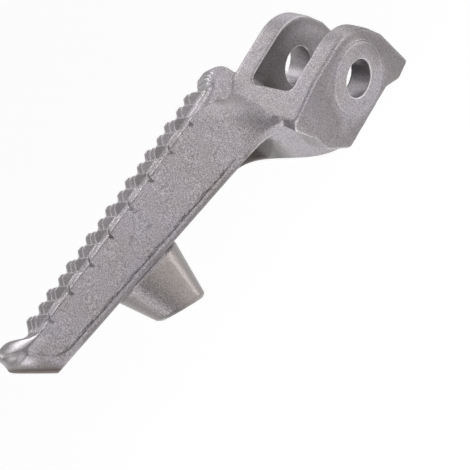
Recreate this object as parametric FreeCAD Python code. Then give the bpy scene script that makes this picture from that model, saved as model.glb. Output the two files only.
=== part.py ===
"""Rider's footpeg of a motorbike: one aluminium casting with a rolled hinge fork.

Millimetres. The origin is the hinge pin's axis midway between the fork's ears, +X points out along
the peg to its tip, +Z is up, square to the tread, and +Y is the side towards which the fork's upper
edges lean. The fork is drawn upright, with the pin along Y, and then turned to its lie.
"""

import FreeCAD, Part
import math
import os

# Lie of the hinge fork
HINGE_ROLL = 44.0
HINGE_SKEW = 13.0

# Hinge fork, drawn upright
PIN_BORE = 10.0
FORK_GAP = 13.2
EAR_WALL = 6.0
FAR_EAR_WALL = 6.05
EAR_RADIUS = 13.0
EAR_RAMP = 9.4
WEB_TOP = 14.7
EAR_END = 20.6
EAR_END_LEAN = 0.6
EAR_END_DROP = 2.0
TOE_REACH = 22.5
TOE_DROP = 1.9
TOE_HEIGHT = 9.0
TOE_WIDTH = 10.0
EAR_FOOT = 15.2
EAR_FOOT_DROP = 10.2
EAR_DROP = 13.0
HEEL_STEP = 4.0
HEEL_TOE = 8.4
HEEL_DROP = 16.4
HEEL_REACH = 13.9
HEEL_TOP = 2.0
HEEL_JOIN_ANGLE = 170.0
PAD_DIA = 19.3
PAD_RISE = 0.6
THROAT = 12.8
THROAT_ROUND = 2.0
EAR_ROUND = 0.9

# Twisted root between fork and bar
ROOT_START = 15.0
ROOT_END = 31.5
ROOT_STATIONS = 5
ROOT_DROP = 8.8
ROOT_HOLLOW = 2.0
ROOT_INSET = 0.4
ROOT_ROUND = 1.5

# Bar
TREAD_HEIGHT = 20.45
PEG_LENGTH = 108.2
ROOT_HALF_WIDTH = 13.4
TIP_HALF_WIDTH = 11.7
WALL_DRAFT = 1.33
EDGE_HEIGHT = 2.15
EDGE_RISE = 6.1
EDGE_TILT = 4.35

# Proud band along the lower edges
BAND_HEIGHT = 2.0
BAND_PROUD = 0.7
BAND_TAPER = 6.0
BAND_LEAD = 4.0
BAND_RISE_RUN = 7.1
BAND_RISE_ANGLE = 74.0
BAND_TIP_HEIGHT = 20.4
CREASE_DEPTH = 0.45
CREASE_HEIGHT = 0.7

# Channel under the bar
CHANNEL_WALL = 3.4
CHANNEL_ROOF = 5.5
POCKET_END = 17.5
POCKET_SLOPE = 34.0
POCKET_FLOOR = 24.0
CHANNEL_END = 95.0
CHANNEL_ROUND = 2.0

# Tip
LIP_START = 96.0
LIP_CREST = 105.6
LIP_HEIGHT = 4.85
LIP_ROUND = 3.6
TIP_CORNER = 9.5
TIP_FACE_LOW = 18.6
TIP_UNDERCUT = 53.8

# Tread
TOOTH_PITCH = 8.73
TOOTH_COLUMNS = 5
COLUMN_PITCH = 4.4
TOOTH_LENGTH = 6.4
TOOTH_WIDTH = 3.7
TOOTH_HEIGHT = 2.85
TOOTH_CREST_LENGTH = 1.3
TOOTH_CREST_WIDTH = 0.5
FIRST_TOOTH = 33.3
TREAD_START = 21.6
TREAD_SLANT = 0.6
RIM_HEIGHT = 1.25
RIM_WIDTH = 1.2
RIM_TOP_LENGTH = 3.0
RIM_SETBACK = 0.3
RIM_SUNK = 0.2
NOTCH_LEAD = 1.4
NOTCH_DEPTH = 2.8
NOTCH_RUN = 2.6
NOTCH_REACH = 1.3

# Shoulder at the tread's inner end
SHOULDER_FACE = 13.4
SHOULDER_ROUND = 3.8
SHOULDER_CORNER = 4.0
SHOULDER_STEPS = 3
STEP_RISE = 0.75
STEP_RUN = 0.9
STEP_START = 21.3
STEP_NEAR_SIDE = 7.1
SHOULDER_FOOT = 14.0
BED_FOOT = -1.0
BED_OUTER_FOOT = 12.0
BED_INSET = 1.0

# Feeler boss
BOSS_PLACE = 69.5
BOSS_DROP = 7.1
BOSS_RADIUS = 6.5
BOSS_LEAN = 7.15
BOSS_TAPER = 17.15
BOSS_FACE_LEAN = 24.0
BOSS_CONE_HEIGHT = 13.0
BOSS_CHAMFER = 0.8
FEELER_BORE = 6.8
FEELER_DEPTH = 14.0
FEELER_CHAMFER = 0.9

OVERLAP = 0.5
BEYOND = 60.0

ORIGIN = FreeCAD.Vector(0, 0, 0)
X_AXIS = FreeCAD.Vector(1, 0, 0)
Y_AXIS = FreeCAD.Vector(0, 1, 0)
Z_AXIS = FreeCAD.Vector(0, 0, 1)
NEAR_SIDE = FORK_GAP / 2 + EAR_WALL
FAR_SIDE = FORK_GAP / 2 + FAR_EAR_WALL
ROLL = math.radians(HINGE_ROLL)
SKEW = math.radians(HINGE_SKEW)
FORK_UP = FreeCAD.Vector(0, math.sin(ROLL), math.cos(ROLL))
FORK_LEVEL = FreeCAD.Vector(0, math.cos(ROLL), -math.sin(ROLL))
FORK_ALONG = X_AXIS * math.cos(SKEW) + FORK_LEVEL * math.sin(SKEW)
FORK_ACROSS = FORK_LEVEL * math.cos(SKEW) - X_AXIS * math.sin(SKEW)


def point(x, y, z):
    return FreeCAD.Vector(x, y, z)


def fork_point(x, y, z):
    """Place of a point of the upright fork after the fork is turned to its lie."""
    return FORK_ALONG * x + FORK_ACROSS * y + FORK_UP * z


def rounded_loop(corners, radii):
    """Closed wire of straight sides, joined by tangent arcs where a radius is given."""
    arcs = []
    count = len(corners)
    for i in range(count):
        corner = corners[i]
        if radii[i] == 0:
            arcs.append((corner, corner, corner))
            continue
        back = (corners[i - 1] - corner).normalize()
        ahead = (corners[(i + 1) % count] - corner).normalize()
        half_angle = back.getAngle(ahead) / 2
        inward = (back + ahead).normalize()
        reach = radii[i] / math.tan(half_angle)
        middle = corner + inward * (radii[i] / math.sin(half_angle) - radii[i])
        arcs.append((corner + back * reach, middle, corner + ahead * reach))
    edges = []
    for i in range(count):
        begin, middle, end = arcs[i]
        if radii[i] > 0:
            edges.append(Part.Arc(begin, middle, end).toShape())
        edges.append(Part.LineSegment(end, arcs[(i + 1) % count][0]).toShape())
    return Part.Wire(edges)


def polygon(points):
    return Part.makePolygon(points + [points[0]])


def prism(wire, direction):
    return Part.Face(wire).extrude(direction)


def flat_solid(lower, upper):
    """Solid with flat sides between two loops of corners that run the same way."""
    loops = [lower, upper]
    for i in range(len(lower)):
        loops.append([lower[i - 1], lower[i], upper[i], upper[i - 1]])
    middle = sum(lower + upper, ORIGIN) / (len(lower) + len(upper))
    faces = []
    for loop in loops:
        face = Part.Face(polygon(loop))
        if face.normalAt(0, 0).dot(face.CenterOfMass - middle) < 0:
            face.reverse()
        faces.append(face)
    return Part.makeSolid(Part.makeShell(faces))


def blend(start, end, share):
    return start + (end - start) * share


def half_width(x):
    """Half the bar's width at its tread edge."""
    return blend(ROOT_HALF_WIDTH, TIP_HALF_WIDTH, (x - ROOT_END) / (LIP_START - ROOT_END))


def edge_height(x):
    """Height of the bar's lower edges midway between its walls."""
    return EDGE_HEIGHT + (x - ROOT_END) * math.tan(math.radians(EDGE_RISE))


def ear_outline():
    """Side outline of the ears, with their stop heel, in the upright fork's plane."""
    ramp = math.radians(EAR_RAMP)
    join = math.radians(HEEL_JOIN_ANGLE)
    crown_angle = math.pi / 2 + ramp
    middle_angle = (join + crown_angle) / 2
    crown = point(EAR_RADIUS * math.cos(crown_angle), 0, EAR_RADIUS * math.sin(crown_angle))
    middle = point(EAR_RADIUS * math.cos(middle_angle), 0, EAR_RADIUS * math.sin(middle_angle))
    heel_join = point(EAR_RADIUS * math.cos(join), 0, EAR_RADIUS * math.sin(join))
    ramp_end = crown.x + (WEB_TOP - crown.z) / math.tan(ramp)
    corners = [
        crown,
        point(ramp_end, 0, WEB_TOP),
        point(EAR_END, 0, WEB_TOP),
        point(EAR_END - EAR_END_LEAN, 0, -EAR_END_DROP),
        point(EAR_FOOT, 0, -EAR_FOOT_DROP),
        point(-HEEL_STEP, 0, -EAR_DROP),
        point(-HEEL_TOE, 0, -HEEL_DROP),
        point(-HEEL_REACH, 0, -HEEL_DROP),
        point(-HEEL_REACH, 0, -HEEL_TOP),
        heel_join,
    ]
    edges = [Part.LineSegment(a, b).toShape() for a, b in zip(corners, corners[1:])]
    edges.append(Part.Arc(heel_join, middle, crown).toShape())
    return Part.Wire(edges)


def ear_toe():
    """Sloping toe by which the near ear ends on the root, fading out towards the far ear."""
    outer = NEAR_SIDE - EAR_ROUND / 2
    corners = [
        point(EAR_END - EAR_ROUND, outer, WEB_TOP),
        point(EAR_END, outer, WEB_TOP),
        point(TOE_REACH, outer, WEB_TOP - TOE_DROP),
        point(EAR_END, outer, WEB_TOP - TOE_HEIGHT),
        point(EAR_END - EAR_ROUND, outer, WEB_TOP - TOE_HEIGHT),
    ]
    return prism(polygon(corners), point(EAR_END - TOE_REACH, -TOE_WIDTH, 0))


def fork_block():
    """Both ears and the web between them as one block, before the gap is cut."""
    outline = ear_outline()
    outline.translate(Y_AXIS * -FAR_SIDE)
    width = FAR_SIDE + NEAR_SIDE
    block = prism(outline, Y_AXIS * width)
    middle = (NEAR_SIDE - FAR_SIDE) / 2
    rims = [e for e in block.Edges if abs(e.CenterOfMass.y - middle) > width / 2 - OVERLAP]
    block = block.makeFillet(EAR_ROUND, rims)
    pad_start = Y_AXIS * -(FAR_SIDE + PAD_RISE)
    pad = Part.makeCylinder(PAD_DIA / 2, width + 2 * PAD_RISE, pad_start, Y_AXIS)
    return block.multiFuse([pad, ear_toe()])


def fork_gap():
    """Gap that takes the bracket's lug, with a rounded throat."""
    gap = Part.makeBox(BEYOND + THROAT, FORK_GAP, 2 * BEYOND, point(-BEYOND, -FORK_GAP / 2, -BEYOND))
    ends = [e for e in gap.Edges if abs(e.CenterOfMass.x - THROAT) < OVERLAP]
    corners = [e for e in ends if abs(e.CenterOfMass.z) < OVERLAP]
    return gap.makeFillet(THROAT_ROUND, corners)


def pin_bore():
    return Part.makeCylinder(PIN_BORE / 2, 2 * BEYOND, Y_AXIS * -BEYOND, Y_AXIS)


def turned(shape):
    """Turn a shape of the upright fork to the fork's lie."""
    shape.rotate(ORIGIN, Z_AXIS, HINGE_SKEW)
    shape.rotate(ORIGIN, X_AXIS, -HINGE_ROLL)
    return shape


def bar_corners(x, wall, roof, drop):
    """Corners of the bar's section, inset by a wall and a roof, with its open side lowered."""
    draft = math.tan(math.radians(WALL_DRAFT))
    tilt = math.tan(math.radians(EDGE_TILT))
    wide = half_width(x) - wall
    top = TREAD_HEIGHT - roof
    low = edge_height(x) - drop
    foot = wide + draft * (top - low)
    near = foot / (1 + draft * tilt)
    far = foot / (1 - draft * tilt)
    return [
        point(x, wide, top),
        point(x, -wide, top),
        point(x, -far, low - far * tilt),
        point(x, near, low + near * tilt),
    ]


def near_edge(x):
    """Foot of the bar's near wall."""
    return bar_corners(x, 0, 0, 0)[-1]


def beam(lower, upper, radius, rounded):
    """Flat-sided solid between two loops, with some of its lengthwise edges rounded."""
    solid = flat_solid(lower, upper)
    edges = []
    for i in rounded:
        middle = (lower[i] + upper[i]) / 2
        edges += [e for e in solid.Edges if e.CenterOfMass.distanceToPoint(middle) < OVERLAP]
    return solid.makeFillet(radius, edges)


def fork_corners(x, wall, roof, drop):
    """Corners of the fork's section that the bar's corners run into, inset the same way."""
    far = roof - FAR_SIDE + ROOT_INSET
    near = NEAR_SIDE - ROOT_INSET + drop
    high = WEB_TOP - ROOT_INSET - wall
    low = -ROOT_DROP + wall
    return [
        fork_point(x, far, high),
        fork_point(x, far, low),
        fork_point(x, near, low),
        fork_point(x, near, high),
    ]


def root_corners(share, wall, roof, drop):
    """Corners of the root's section, a share of the way from fork to bar."""
    x = blend(ROOT_START, ROOT_END, share)
    ease = share * share * (3 - 2 * share)
    pairs = zip(fork_corners(x, wall, roof, drop), bar_corners(x, wall, roof, drop))
    corners = [blend(a, b, ease) for a, b in pairs]
    hollow = ROOT_HOLLOW * math.sin(math.pi * share) ** 2
    corners[2] += (corners[1] - corners[2]).normalize() * hollow
    corners[3] += (corners[0] - corners[3]).normalize() * hollow
    middle = sum(corners, ORIGIN) / len(corners)
    along = blend(FORK_ALONG, X_AXIS, ease).normalize()
    return [corner - along * along.dot(corner - middle) for corner in corners]


def root_loops(start, wall, roof, drop, radii):
    steps = ROOT_STATIONS - 1
    shares = [blend(start, 1, i / steps) for i in range(ROOT_STATIONS)]
    return [rounded_loop(root_corners(share, wall, roof, drop), radii) for share in shares]


def root():
    """Channel section that turns from the fork's lie to the bar's."""
    radii = [0, 0, ROOT_ROUND, ROOT_ROUND]
    return Part.makeLoft(root_loops(0, 0, 0, 0, radii), True, False)


def bar():
    lift = -BAND_HEIGHT / 2
    return flat_solid(*[bar_corners(x, 0, 0, lift) for x in (ROOT_END, PEG_LENGTH + OVERLAP)])


def channel():
    """Hollow under root and bar, open downwards, that shallows out towards the fork."""
    start = (POCKET_END - ROOT_START) / (ROOT_END - ROOT_START) / 2
    drop = CHANNEL_ROOF
    radii = [CHANNEL_ROUND] * 4
    twisted = Part.makeLoft(root_loops(start, CHANNEL_WALL, CHANNEL_ROOF, drop, radii), True, False)
    lean = math.tan(math.radians(POCKET_SLOPE))
    corners = [
        point(-BEYOND, -BEYOND, -BEYOND),
        point(POCKET_FLOOR, -BEYOND, -BEYOND),
        point(POCKET_FLOOR, NEAR_SIDE - (POCKET_FLOOR - POCKET_END) / lean, -BEYOND),
        point(POCKET_END + (NEAR_SIDE - BEYOND) * lean, BEYOND, -BEYOND),
        point(-BEYOND, BEYOND, -BEYOND),
    ]
    keep_out = prism(polygon(corners), Z_AXIS * (2 * BEYOND))
    ends = [bar_corners(x, CHANNEL_WALL, CHANNEL_ROOF, drop) for x in (ROOT_END, CHANNEL_END)]
    straight = beam(*ends, CHANNEL_ROUND + OVERLAP, (0, 1))
    return twisted.fuse(straight).cut(turned(keep_out))


def tip_outline(proud):
    """Plan of bar and rounded tip, with a proud edge that grows from the root on."""
    wide = near_edge(PEG_LENGTH).y + proud
    back = near_edge(ROOT_END).y
    lead = near_edge(ROOT_END + BAND_TAPER).y + proud
    end = PEG_LENGTH + proud
    corners = [
        point(ROOT_END, back, 0),
        point(ROOT_END + BAND_TAPER, lead, 0),
        point(end, wide, 0),
        point(end, -wide, 0),
        point(ROOT_END + BAND_TAPER, -lead, 0),
        point(ROOT_END, -back, 0),
    ]
    plan = rounded_loop(corners, [0, 0, TIP_CORNER, TIP_CORNER, 0, 0])
    plan.translate(Z_AXIS * -BEYOND)
    return prism(plan, Z_AXIS * (2 * BEYOND))


def tip_undercut():
    """Sloping cut that takes the tip's lower end away."""
    run = BEYOND / math.tan(math.radians(TIP_UNDERCUT))
    corners = [
        point(PEG_LENGTH + run, -BEYOND, TIP_FACE_LOW + BEYOND),
        point(PEG_LENGTH - run, -BEYOND, TIP_FACE_LOW - BEYOND),
        point(PEG_LENGTH + run, -BEYOND, TIP_FACE_LOW - BEYOND),
    ]
    return prism(polygon(corners), Y_AXIS * (2 * BEYOND))


def band():
    """Proud band along the lower edges that rises round the tip."""
    end = PEG_LENGTH + BAND_PROUD
    begin = point(ROOT_END, -BEYOND, near_edge(ROOT_END).z + BAND_HEIGHT)
    turn = point(LIP_START, -BEYOND, near_edge(LIP_START).z + BAND_HEIGHT)
    top = point(LIP_START + BAND_RISE_RUN, -BEYOND, BAND_TIP_HEIGHT)
    high_end = point(end, -BEYOND, BAND_TIP_HEIGHT)
    lead = (turn - begin).normalize() * BAND_LEAD
    steep = math.radians(BAND_RISE_ANGLE)
    climb = point(math.cos(steep), 0, math.sin(steep)) * BAND_LEAD
    rise = Part.BezierCurve()
    rise.setPoles([turn, turn + lead, top - climb, top])
    low_end = point(end, -BEYOND, -BEYOND)
    low_begin = point(ROOT_END, -BEYOND, -BEYOND)
    edges = [
        Part.LineSegment(begin, turn).toShape(),
        rise.toShape(),
        Part.LineSegment(top, high_end).toShape(),
        Part.LineSegment(high_end, low_end).toShape(),
        Part.LineSegment(low_end, low_begin).toShape(),
        Part.LineSegment(low_begin, begin).toShape(),
    ]
    below = prism(Part.Wire(edges), Y_AXIS * (2 * BEYOND))
    ends = [bar_corners(x, -BAND_PROUD, 0, 0) for x in (ROOT_END, end + OVERLAP)]
    body = beam(*ends, ROOT_ROUND, (2, 3))
    return body.common(below).common(tip_outline(BAND_PROUD))


def crease(side):
    """Groove that parts the proud band from the wall above it."""
    draft = math.tan(math.radians(WALL_DRAFT))
    loops = []
    for x in (ROOT_END + BAND_TAPER, LIP_START):
        low = near_edge(x).z + BAND_HEIGHT - CREASE_HEIGHT / 4
        wall = half_width(x) + draft * (TREAD_HEIGHT - low)
        loops.append([
            point(x, side * (wall - CREASE_DEPTH), low),
            point(x, side * (wall + CREASE_DEPTH), low),
            point(x, side * (wall + CREASE_DEPTH), low + 2 * CREASE_HEIGHT),
        ])
    return flat_solid(*loops)


def lip():
    """Upturned, crowned nose at the tip."""
    crest_height = TREAD_HEIGHT + LIP_HEIGHT
    low = TREAD_HEIGHT - CHANNEL_ROOF
    begin = point(LIP_START, -BEYOND, TREAD_HEIGHT)
    crest = point(LIP_CREST, -BEYOND, crest_height)
    end = point(PEG_LENGTH, -BEYOND, crest_height - LIP_ROUND)
    half = X_AXIS * ((LIP_CREST - LIP_START) / 2)
    rise = Part.BezierCurve()
    rise.setPoles([begin, begin + half, crest - half, crest])
    nose = Part.BezierCurve()
    nose.setPoles([crest, point(PEG_LENGTH, -BEYOND, crest_height), end])
    low_end = point(PEG_LENGTH, -BEYOND, low)
    low_begin = point(LIP_START, -BEYOND, low)
    edges = [
        rise.toShape(),
        nose.toShape(),
        Part.LineSegment(end, low_end).toShape(),
        Part.LineSegment(low_end, low_begin).toShape(),
        Part.LineSegment(low_begin, begin).toShape(),
    ]
    side = prism(Part.Wire(edges), Y_AXIS * (2 * BEYOND))
    crown_radius = (TIP_HALF_WIDTH ** 2 + LIP_HEIGHT ** 2) / (2 * LIP_HEIGHT)
    crown_centre = point(ROOT_END, 0, crest_height - crown_radius)
    crown = Part.makeCylinder(crown_radius, 2 * BEYOND, crown_centre, X_AXIS)
    return side.common(crown).common(tip_outline(0))


def rectangle(x, y, z, length, width):
    dx = length / 2
    dy = width / 2
    return [
        point(x - dx, y - dy, z),
        point(x + dx, y - dy, z),
        point(x + dx, y + dy, z),
        point(x - dx, y + dy, z),
    ]


def tooth(x, y):
    """One tread tooth, sunk a little into the tread."""
    sunk = OVERLAP / TOOTH_HEIGHT
    length = TOOTH_LENGTH + (TOOTH_LENGTH - TOOTH_CREST_LENGTH) * sunk
    width = TOOTH_WIDTH + (TOOTH_WIDTH - TOOTH_CREST_WIDTH) * sunk
    base = rectangle(x, y, TREAD_HEIGHT - OVERLAP, length, width)
    crest = rectangle(x, y, TREAD_HEIGHT + TOOTH_HEIGHT, TOOTH_CREST_LENGTH, TOOTH_CREST_WIDTH)
    return flat_solid(base, crest)


def near_limit(x):
    """Width left to the tread on its near side, beside the twisted root."""
    return STEP_NEAR_SIDE + (x - STEP_START) * TREAD_SLANT


def column_places(y, shift):
    """Places along the tread, one pitch apart, where a whole tooth finds room."""
    places = []
    x = FIRST_TOOTH + shift - TOOTH_PITCH * 2
    while x + TOOTH_LENGTH / 2 < LIP_START + TOOTH_LENGTH / 2:
        inner = x - TOOTH_LENGTH / 2
        if inner > TREAD_START - OVERLAP and y + TOOTH_WIDTH / 2 < near_limit(inner):
            places.append(x)
        x += TOOTH_PITCH
    return places


def tooth_places():
    places = []
    for column in range(TOOTH_COLUMNS):
        y = (column - (TOOTH_COLUMNS - 1) / 2) * COLUMN_PITCH
        shift = -(column % 2) * TOOTH_PITCH / 2
        places += [(x, y) for x in column_places(y, shift)]
    return places


def rim_block(x, side):
    """Raised block on the tread's edge, bevelled outwards and at both ends."""
    outer = half_width(x) - RIM_SETBACK + RIM_SUNK
    top_outer = outer - RIM_SUNK - RIM_HEIGHT
    inner = top_outer - RIM_WIDTH
    length = RIM_TOP_LENGTH + 2 * (RIM_HEIGHT + RIM_SUNK)
    high = TREAD_HEIGHT + RIM_HEIGHT
    base = rectangle(x, side * (outer + inner) / 2, TREAD_HEIGHT - RIM_SUNK, length, outer - inner)
    top = rectangle(x, side * (top_outer + inner) / 2, high, RIM_TOP_LENGTH, RIM_WIDTH)
    return flat_solid(base, top)


def notch(x, side):
    """Saw-tooth notch in the tread's edge beside an outer tooth, steep on the hinge side."""
    start = x - NOTCH_LEAD
    edge = half_width(x)
    slope = NOTCH_RUN / (NOTCH_DEPTH + OVERLAP)
    loops = []
    for y, depth in ((edge + OVERLAP, NOTCH_DEPTH), (edge - NOTCH_REACH, OVERLAP / 2)):
        loops.append([
            point(start, side * y, TREAD_HEIGHT - depth),
            point(start, side * y, TREAD_HEIGHT + OVERLAP),
            point(start + slope * (depth + OVERLAP), side * y, TREAD_HEIGHT + OVERLAP),
        ])
    return flat_solid(*loops)


def bed_plan():
    """Plan of the tread's inner end, which narrows towards the hinge."""
    end = ROOT_END + OVERLAP
    corners = [
        point(SHOULDER_FACE, BED_INSET - ROOT_HALF_WIDTH, -BEYOND),
        point(end, -half_width(end), -BEYOND),
        point(end, near_limit(ROOT_END), -BEYOND),
        point(SHOULDER_FACE, near_limit(SHOULDER_FACE), -BEYOND),
    ]
    return prism(polygon(corners), Z_AXIS * (2 * BEYOND))


def side_block(corners, radii):
    """Block across the peg with the given side view."""
    outline = rounded_loop(corners, radii)
    outline.translate(Y_AXIS * -BEYOND)
    return prism(outline, Y_AXIS * (2 * BEYOND))


def bed():
    """Body under the tread's inner end, over the twisted root, rounded on its near side."""
    end = ROOT_END + OVERLAP
    corners = [
        point(SHOULDER_FACE, 0, BED_FOOT),
        point(SHOULDER_FACE, 0, TREAD_HEIGHT),
        point(end, 0, TREAD_HEIGHT),
        point(end, 0, BED_OUTER_FOOT),
    ]
    body = side_block(corners, [0] * len(corners)).common(bed_plan())
    middle = (near_limit(SHOULDER_FACE) + near_limit(ROOT_END)) / 2
    near = point((SHOULDER_FACE + end) / 2, middle, TREAD_HEIGHT)
    edge = [e for e in body.Edges if e.CenterOfMass.distanceToPoint(near) < OVERLAP]
    return body.makeFillet(SHOULDER_CORNER, OVERLAP, edge)


def step(i):
    """One step of the shoulder, with its near upper corner rounded."""
    start = STEP_START - i * STEP_RUN
    top = TREAD_HEIGHT + (i + 1) * STEP_RISE
    near = near_limit(start)
    corners = [
        point(start, near, SHOULDER_FOOT),
        point(start, near, top),
        point(start, -BEYOND, top),
        point(start, -BEYOND, SHOULDER_FOOT),
    ]
    face = rounded_loop(corners, [0, SHOULDER_CORNER, 0, 0])
    run = start - SHOULDER_FACE + OVERLAP
    return prism(face, point(-run, -run * TREAD_SLANT, 0))


def shoulder():
    """Tread's inner end with its rounded end stop, stepped towards the teeth."""
    steps = [step(i) for i in range(SHOULDER_STEPS)]
    stop = steps[0].multiFuse(steps[1:]).common(bed_plan())
    end = ROOT_END + OVERLAP
    high = TREAD_HEIGHT + SHOULDER_STEPS * STEP_RISE
    corners = [
        point(SHOULDER_FACE, 0, BED_FOOT),
        point(SHOULDER_FACE, 0, high),
        point(end, 0, high),
        point(end, 0, BED_FOOT),
    ]
    return bed().fuse(stop).common(side_block(corners, [0, SHOULDER_ROUND, 0, 0]))


def boss():
    """Leaning, tapered feeler boss that hangs from the channel's roof."""
    lean = math.radians(BOSS_LEAN)
    face_lean = math.radians(BOSS_FACE_LEAN)
    grow = math.tan(math.radians(BOSS_TAPER))
    down = point(math.sin(lean), 0, -math.cos(lean))
    out = point(math.sin(face_lean), 0, -math.cos(face_lean))
    end = point(BOSS_PLACE, 0, -BOSS_DROP)
    tip_radius = BOSS_RADIUS - BOSS_RADIUS * grow
    foot_radius = BOSS_RADIUS + BOSS_CONE_HEIGHT * grow
    length = BOSS_RADIUS + BOSS_CONE_HEIGHT
    cone = Part.makeCone(tip_radius, foot_radius, length, end + down * BOSS_RADIUS, -down)
    stem = cone.cut(Part.makeCylinder(BEYOND, BEYOND, end, out))
    rim = [e for e in stem.Edges if abs(out.dot(e.CenterOfMass - end)) < OVERLAP]
    stem = stem.makeChamfer(BOSS_CHAMFER, rim)
    foot = end - down * BOSS_CONE_HEIGHT
    rise = (TREAD_HEIGHT - CHANNEL_ROOF / 2 - foot.z) / math.cos(lean)
    column = Part.makeCylinder(foot_radius, rise, foot, -down)
    bore = Part.makeCylinder(FEELER_BORE / 2, FEELER_DEPTH + OVERLAP, end + out * OVERLAP, -out)
    mouth_radius = FEELER_BORE / 2 + FEELER_CHAMFER
    mouth = Part.makeCone(mouth_radius, FEELER_BORE / 2, FEELER_CHAMFER, end, -out)
    return column.fuse(stem), bore.fuse(mouth)


def main():
    casting = root().fuse(bar().common(tip_outline(0)))
    casting = casting.fuse(band())
    casting = casting.cut(Part.makeCompound([crease(1), crease(-1)]))
    casting = casting.fuse(lip())
    casting = casting.fuse(shoulder())
    casting = casting.cut(tip_undercut())
    casting = casting.cut(channel())
    casting = casting.fuse(turned(fork_block()))
    stem, feeler_bore = boss()
    casting = casting.fuse(stem)
    casting = casting.cut(feeler_bore)
    casting = casting.cut(turned(fork_gap()))
    casting = casting.cut(turned(pin_bore()))
    places = tooth_places()
    outer_y = (TOOTH_COLUMNS - 1) / 2 * COLUMN_PITCH
    outer = [(x, math.copysign(1, y)) for x, y in places if abs(abs(y) - outer_y) < OVERLAP]
    casting = casting.cut(Part.makeCompound([notch(x, side) for x, side in outer]))
    studs = [tooth(x, y) for x, y in places]
    studs += [rim_block(x + TOOTH_PITCH / 2, side) for x, side in outer if x + TOOTH_PITCH < LIP_START]
    casting = casting.multiFuse(studs)
    os.makedirs("parts", exist_ok=True)
    casting.exportStep("parts/footpeg_casting.step")


main()
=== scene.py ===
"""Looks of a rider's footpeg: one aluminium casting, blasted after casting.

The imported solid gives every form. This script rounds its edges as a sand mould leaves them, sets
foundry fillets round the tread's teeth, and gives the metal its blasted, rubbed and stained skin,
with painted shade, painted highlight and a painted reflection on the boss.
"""

import logging
from dataclasses import dataclass, field
from enum import Enum
from typing import Any, Optional

import bmesh
import bpy
import numpy as np
from mathutils import Matrix, Vector
from mathutils.bvhtree import BVHTree


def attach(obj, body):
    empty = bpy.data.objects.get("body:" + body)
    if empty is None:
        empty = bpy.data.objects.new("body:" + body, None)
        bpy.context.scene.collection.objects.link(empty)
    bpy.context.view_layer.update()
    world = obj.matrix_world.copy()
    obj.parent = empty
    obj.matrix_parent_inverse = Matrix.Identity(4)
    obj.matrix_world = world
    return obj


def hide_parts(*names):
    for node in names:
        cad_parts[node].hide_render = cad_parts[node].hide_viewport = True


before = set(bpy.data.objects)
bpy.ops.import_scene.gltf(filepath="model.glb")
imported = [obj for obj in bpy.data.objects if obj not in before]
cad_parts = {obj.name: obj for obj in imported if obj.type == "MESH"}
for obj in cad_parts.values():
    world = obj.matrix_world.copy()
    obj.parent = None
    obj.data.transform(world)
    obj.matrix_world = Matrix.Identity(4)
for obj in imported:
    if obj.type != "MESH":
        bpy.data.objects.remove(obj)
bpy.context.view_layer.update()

MM = 0.001
LOG = logging.getLogger("footpeg")

# Direction of the hinge pin, which runs through the frame's origin.
PIN_AXIS = np.array((-0.224951, 0.700903, -0.676854))
# Height of the tread's floor, and where the tread ends at the tip's lip.
TREAD_MM = 20.45
LIP_MM = 96.0
# Radius of the round pad outside each ear of the fork.
PAD_RADIUS_MM = 9.65

# Added to a length before it divides, so that a length of nothing does no harm.
TINY = 1e-12
# A direction with this much of an axis in it counts as facing along that axis.
ALONG_AXIS = 0.7

# Sockets of a Mix node that mixes colours.
MIX_SHARE, MIX_UNDER, MIX_OVER, MIX_RESULT = 0, 6, 7, 2


class Mark(Enum):
    """Named point attributes that the metal's skin is painted by."""

    # Rubbed wear, and painted highlight on edges, teeth, the lip and the bores.
    RUB_AND_HIGHLIGHT = "rub_and_highlight"
    # Painted shade in creases, hollows and on faces turned away from the lamps.
    PAINTED_SHADE = "painted_shade"
    TURNED = "turned"
    STAIN = "stain"
    # Painted reflection: bright and dark streaks round the boss.
    DRAW = "painted_streak"
    WORN = "worn"


@dataclass(frozen=True)
class Ramp:
    """A share that runs from 0 at one reading to its top at another, and is level outside them."""

    start: float
    end: float
    top: float = 1.0

    def at(self, reading: np.ndarray) -> np.ndarray:
        """Give the share at each reading."""
        return self.top * np.clip((reading - self.start) / (self.end - self.start), 0, 1)

    def sockets(self) -> dict[str, float]:
        """Give the same ramp as the inputs of a Map Range node."""
        return {"From Min": self.start, "From Max": self.end, "To Min": 0.0, "To Max": self.top}


def linear(hex_colour: str) -> tuple[float, float, float, float]:
    """Turn an sRGB hex value into a linear colour.

    Args:
        hex_colour: Six hex digits, with or without a leading hash.

    Returns:
        Linear red, green, blue and an alpha of one.
    """
    digits = hex_colour.lstrip("#")
    channels = [int(digits[i : i + 2], 16) / 255 for i in (0, 2, 4)]
    parts = [c / 12.92 if c <= 0.04045 else ((c + 0.055) / 1.055) ** 2.4 for c in channels]
    return parts[0], parts[1], parts[2], 1.0


def add_node(
    tree: bpy.types.NodeTree, kind: str, inputs: Optional[dict[Any, Any]] = None, **settings: Any
) -> bpy.types.Node:
    """Add a node, set its properties, and set or link its inputs.

    Args:
        tree: Node tree that gets the node.
        kind: Blender's name of the node type.
        inputs: Values or output sockets, by the input's name or index.
        settings: Properties of the node itself.

    Returns:
        The new node.
    """
    node = tree.nodes.new(kind)
    for name, value in settings.items():
        setattr(node, name, value)
    for key, value in (inputs or {}).items():
        socket = node.inputs[key]
        if isinstance(value, bpy.types.NodeSocket):
            tree.links.new(value, socket)
        else:
            socket.default_value = value
    return node


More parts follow.
